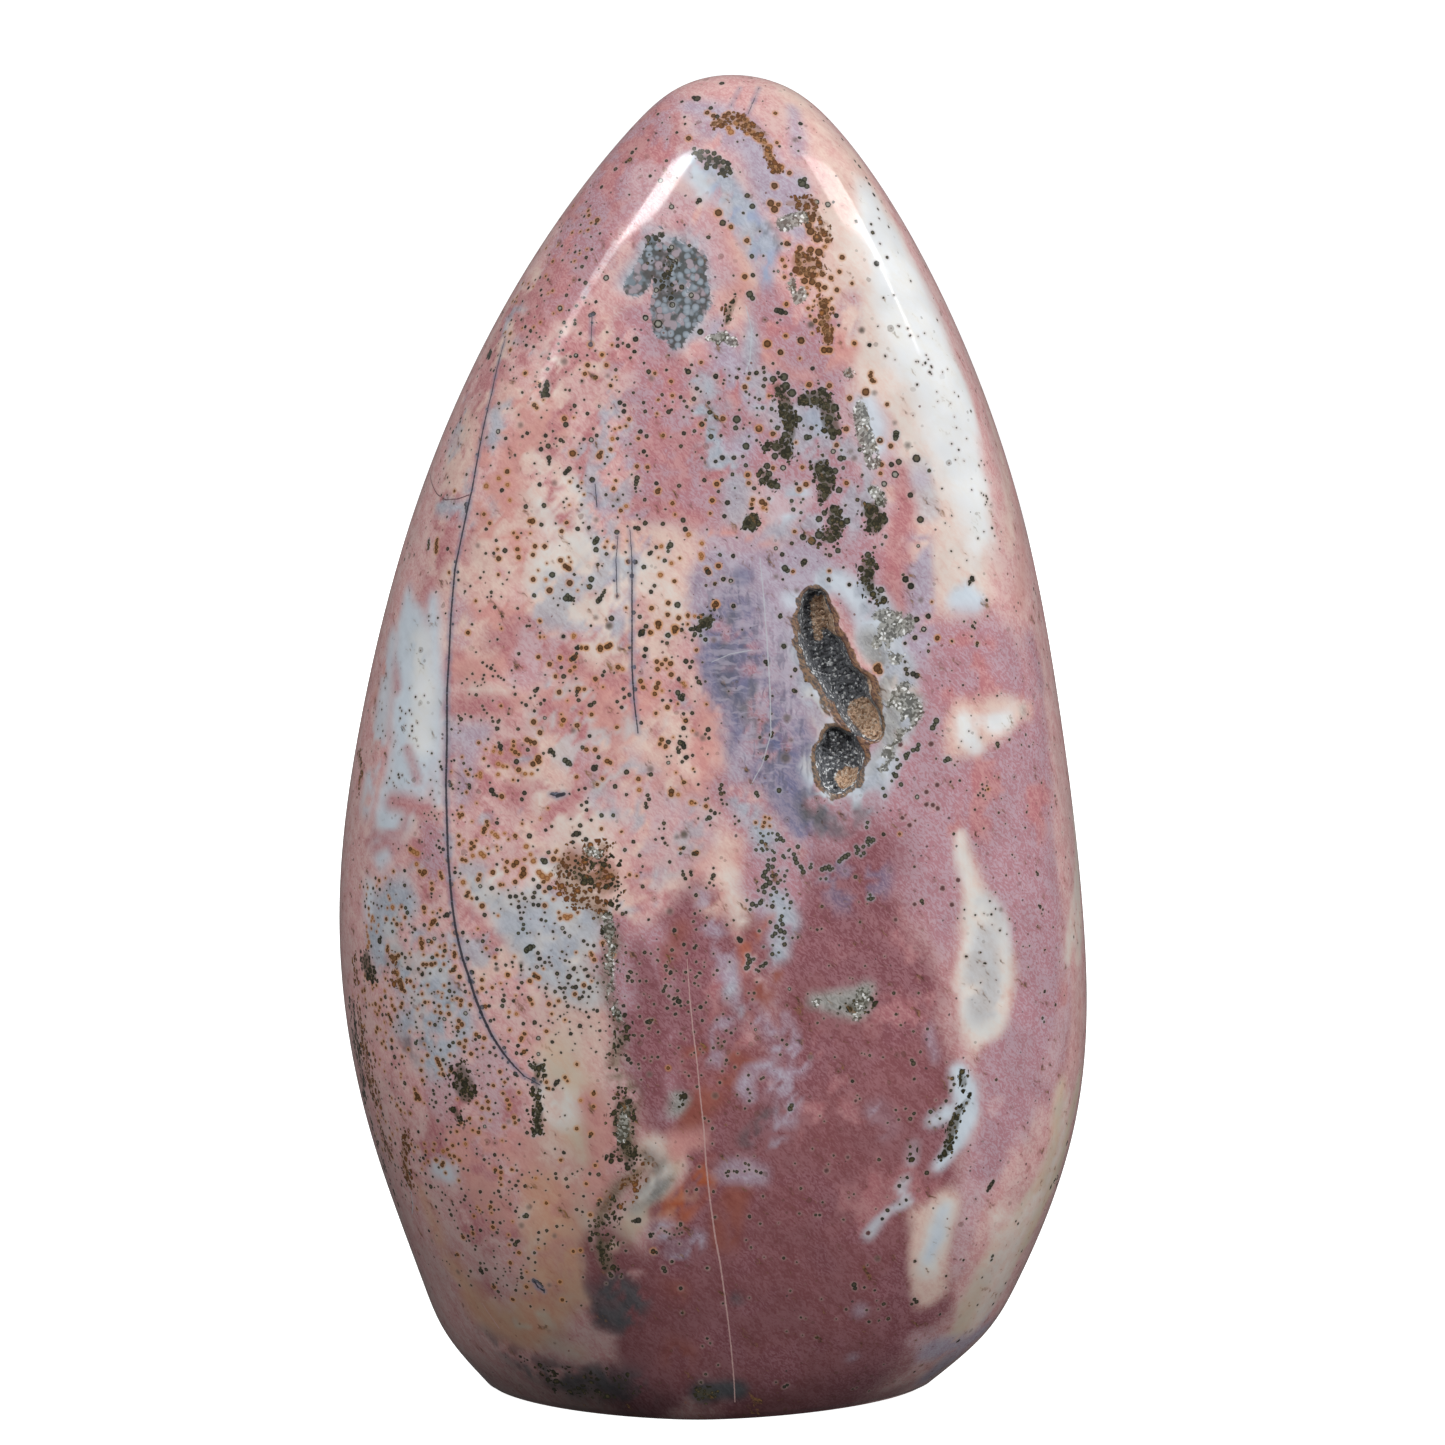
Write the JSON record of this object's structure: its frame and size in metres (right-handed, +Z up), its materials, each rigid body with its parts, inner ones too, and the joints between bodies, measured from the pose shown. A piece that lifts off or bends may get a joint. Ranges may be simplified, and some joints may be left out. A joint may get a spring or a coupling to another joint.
{
  "type": "ocean jasper freeform",
  "caption": "Tall polished stone standing on a flat sawn foot, a rounded shield shape with a broad face, softly bevelled shoulders and a small open crystal pocket; a display piece.",
  "frame": {"origin": "middle of the stone's bounding box, on the plane of the flat foot", "axes": "+Z up from the foot to the crown, +Y from the broad face with the crystal pocket to the back, +X to the right as seen from the broad face"},
  "size_m": [0.1136, 0.0584, 0.2],
  "materials": {
    "polished_jasper": "high polish all over with a rough unpolished crystal pocket in the broad face; foot sawn flat and smoothed"
  },
  "bodies": {
    "root": {"jasper_stone": "polished_jasper"}
  },
  "joints": []
}
